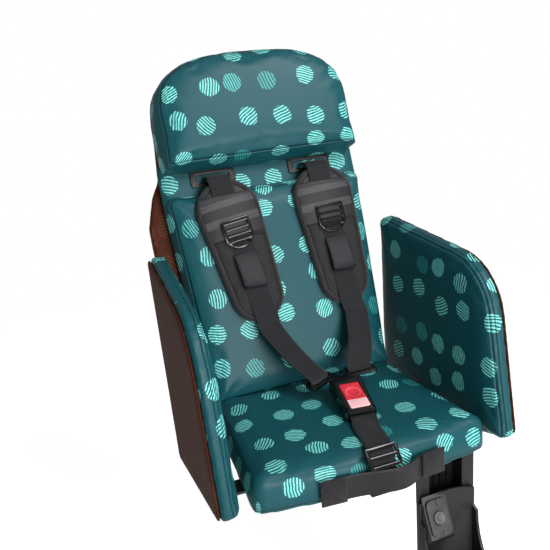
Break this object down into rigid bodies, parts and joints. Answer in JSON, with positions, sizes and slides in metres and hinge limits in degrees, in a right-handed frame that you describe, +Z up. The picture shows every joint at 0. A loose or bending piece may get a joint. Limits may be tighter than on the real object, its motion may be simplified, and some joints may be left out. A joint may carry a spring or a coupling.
{
  "type": "cargo bike child seat",
  "caption": "Upholstered child seat for a cargo bike's box: padded back with headrest, side wings, buckled harness and a sliding footrest under the cushion",
  "frame": {"origin": "centre of the four carrier bolt holes, on the underside of the carrier bracket", "axes": "+Z is up and along the carrier bolts, the seat faces -Y, and +X is the viewer's right in the picture"},
  "size_m": [0.3696, 0.4589, 0.6224],
  "materials": {
    "teal_dots": "smooth satin coated upholstery with hatched polka dots",
    "brown_dots": "dark brown coated upholstery with faint dots",
    "birch": "sanded plywood",
    "steel": "satin black powder coat",
    "zinc": "bright zinc plate",
    "webbing": "woven polyester webbing",
    "pad_cloth": "quilted pad cloth with a bound edge",
    "elastic": "satin woven elastic",
    "fuzzy_patch": "fuzzy hook and loop tape",
    "gloss_black": "glossy moulded nylon",
    "black_plastic": "satin black moulding",
    "grey_plastic": "fine grained dark grey moulding",
    "button_grey": "smooth mid grey moulding",
    "red_button": "satin red moulding"
  },
  "bodies": {
    "seat": {"carrier_bracket": "steel", "board_bolts": "zinc", "board_nuts": "zinc", "seat_board": "birch", "seat_cushion": "teal_dots", "back_board": "birch", "corner_brackets": "steel", "back_cushion": "teal_dots", "back_cover": "brown_dots", "headrest": "teal_dots", "wing_board_left": "birch", "wing_board_right": "birch", "wing_cushion_left": "teal_dots", "wing_cushion_right": "teal_dots", "wing_cover_left": "brown_dots", "wing_cover_right": "brown_dots", "wing_brackets": "steel", "wing_bolts": "zinc", "wing_nuts": "zinc", "slot_bezel_left": "black_plastic", "slot_bezel_right": "black_plastic", "anchor_bar_left": "zinc", "anchor_bar_right": "zinc", "shoulder_strap_left": "webbing", "shoulder_strap_right": "webbing", "shoulder_pad_left": "pad_cloth", "shoulder_pad_right": "pad_cloth", "pad_keeper_left": "webbing", "pad_keeper_right": "webbing", "strap_adjuster_left": "gloss_black", "strap_adjuster_right": "gloss_black", "lower_strap_left": "webbing", "lower_strap_right": "webbing", "buckle_tongue_left": "gloss_black", "buckle_tongue_right": "gloss_black", "buckle_base": "gloss_black", "buckle_cover": "gloss_black", "buckle_latch": "zinc", "buckle_spring": "zinc", "crotch_strap": "webbing", "crotch_slider": "gloss_black", "front_band": "elastic", "band_patch_left": "fuzzy_patch", "band_patch_right": "fuzzy_patch", "leg_guard": "black_plastic", "guard_screws": "zinc"},
    "buckle_button": {"buckle_button": "red_button"},
    "footrest": {"footrest": "black_plastic", "lock_plate": "grey_plastic", "lock_spring": "zinc"},
    "lock_button": {"lock_button": "button_grey"}
  },
  "joints": [
    {"name": "release_button", "type": "slide", "parent": "seat", "child": "buckle_button", "axis": [0.0256, 0.1891, -0.9816], "range_m": [0, 0.003], "stiffness_N_per_m": 400, "springref_m": -0.004},
    {"name": "footrest_height", "type": "slide", "parent": "seat", "child": "footrest", "axis": [0, 0, -1], "range_m": [0, 0.06]},
    {"name": "lock_button_press", "type": "slide", "parent": "footrest", "child": "lock_button", "axis": [0, 0.891, -0.454], "range_m": [0, 0.002], "stiffness_N_per_m": 400, "springref_m": -0.004}
  ]
}
